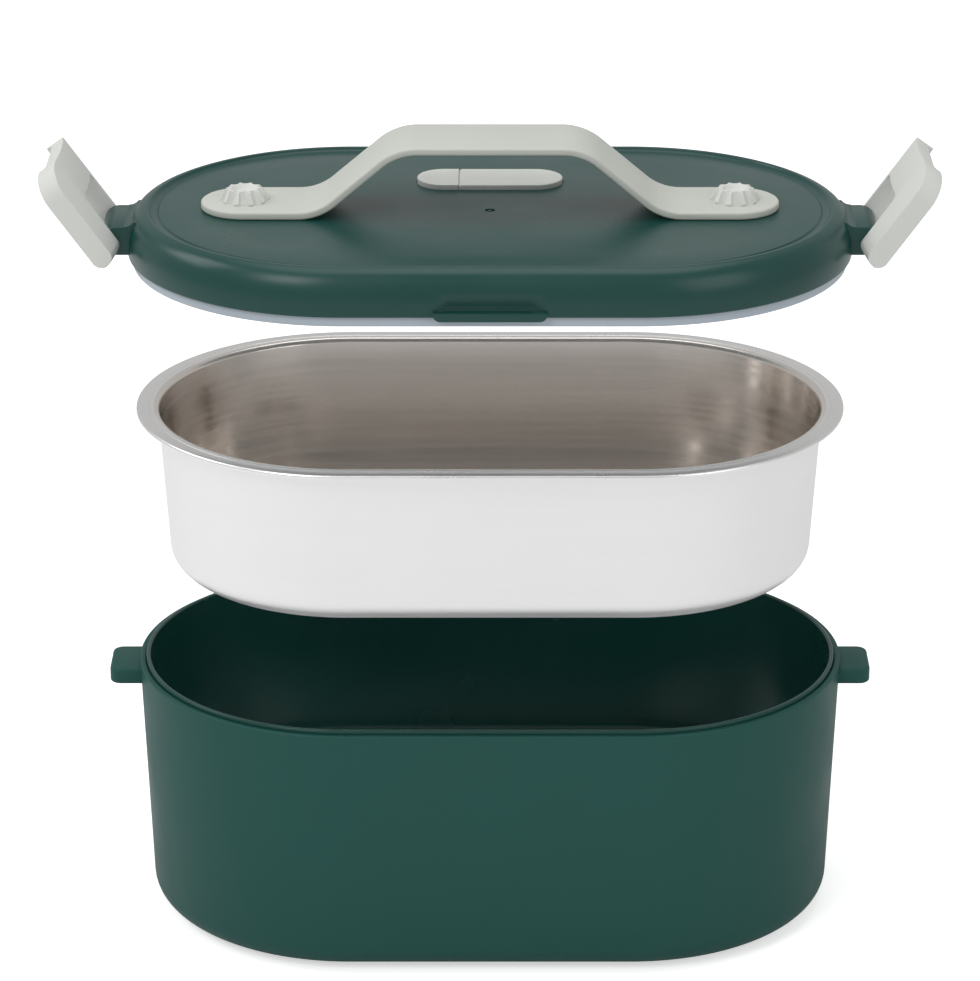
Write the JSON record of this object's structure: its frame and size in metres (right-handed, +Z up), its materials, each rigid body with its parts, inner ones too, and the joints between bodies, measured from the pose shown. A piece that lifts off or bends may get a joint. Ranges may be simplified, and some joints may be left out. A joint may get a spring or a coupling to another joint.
{
  "type": "electric lunch box",
  "caption": "Obround heated lunch box with a lift-out steel tray and a lift-off lid held by two hinged end clips, with a strap handle and a steam vent; shown taken apart.",
  "frame": {"origin": "centre of the foot plane under the base", "axes": "+X along the length towards the right-hand clip, +Y towards the rear, where the power inlet is, +Z up"},
  "size_m": [0.2826, 0.1415, 0.2622],
  "materials": {
    "green_plastic": "satin dark green",
    "liner_plastic": "glossy dark green",
    "aluminium": "satin",
    "steel": "plain",
    "brass": "plain",
    "gasket_rubber": "matt red",
    "black_plastic": "matt",
    "black_rubber": "matt",
    "sleeve": "woven sleeve",
    "red_lens": "clear red",
    "lamp_glass": "clear",
    "brown_wire": "matt",
    "blue_wire": "matt",
    "lead_wire": "matt",
    "tray_steel": "polished inside, satin outside",
    "inner_plastic": "satin translucent grey",
    "seal_rubber": "satin",
    "grey_plastic": "satin light grey",
    "strap_rubber": "satin light grey"
  },
  "bodies": {
    "base": {"outer_shell": "green_plastic", "inner_liner": "liner_plastic", "heating_plate": "aluminium", "plate_gasket": "gasket_rubber", "plate_screws": "steel", "heater_block": "aluminium", "heater_clamp": "steel", "clamp_screws": "steel", "heater_tabs": "brass", "thermostat": "black_plastic", "thermostat_flange": "steel", "thermostat_screws": "steel", "thermal_fuse": "sleeve", "fuse_clip": "steel", "fuse_screw": "steel", "inlet_socket": "black_plastic", "inlet_pins": "brass", "indicator_lens": "red_lens", "neon_lamp": "lamp_glass", "wire_live": "brown_wire", "wire_fuse": "brown_wire", "wire_neutral": "blue_wire", "wire_thermostat": "blue_wire", "lamp_lead_near": "lead_wire", "lamp_lead_far": "lead_wire", "bottom_cover": "black_plastic", "cover_screws": "steel", "rubber_feet": "black_rubber"},
    "tray": {"food_tray": "tray_steel"},
    "lid": {"lid_cover": "green_plastic", "inner_lid": "inner_plastic", "lid_seal": "seal_rubber", "vent_anchor": "grey_plastic", "handle_strap": "strap_rubber", "stud_left": "grey_plastic", "stud_right": "grey_plastic", "stud_screws": "steel", "clip_pin_left": "steel", "clip_pin_right": "steel"},
    "left_clip": {"clip_left": "grey_plastic"},
    "right_clip": {"clip_right": "grey_plastic"},
    "vent_flap": {"vent_plug": "grey_plastic"}
  },
  "joints": [
    {"name": "tray_lift", "type": "slide", "parent": "base", "child": "tray", "axis": [0, 0, 1], "range_m": [-0.086, 0]},
    {"name": "lid_lift", "type": "slide", "parent": "tray", "child": "lid", "axis": [0, 0, 1], "range_m": [-0.0485, 0]},
    {"name": "clip_left_hinge", "type": "hinge", "parent": "lid", "child": "left_clip", "pos_m": [-0.12128, 0, 0.2294], "axis": [0, 1, 0], "range_deg": [-144.5, 0]},
    {"name": "clip_right_hinge", "type": "hinge", "parent": "lid", "child": "right_clip", "pos_m": [0.12128, 0, 0.2294], "axis": [0, 1, 0], "range_deg": [0, 144.5]},
    {"name": "vent_hinge", "type": "hinge", "parent": "lid", "child": "vent_flap", "pos_m": [-0.0089, 0.028, 0.2388], "axis": [0, -1, 0], "range_deg": [0, 80]}
  ]
}
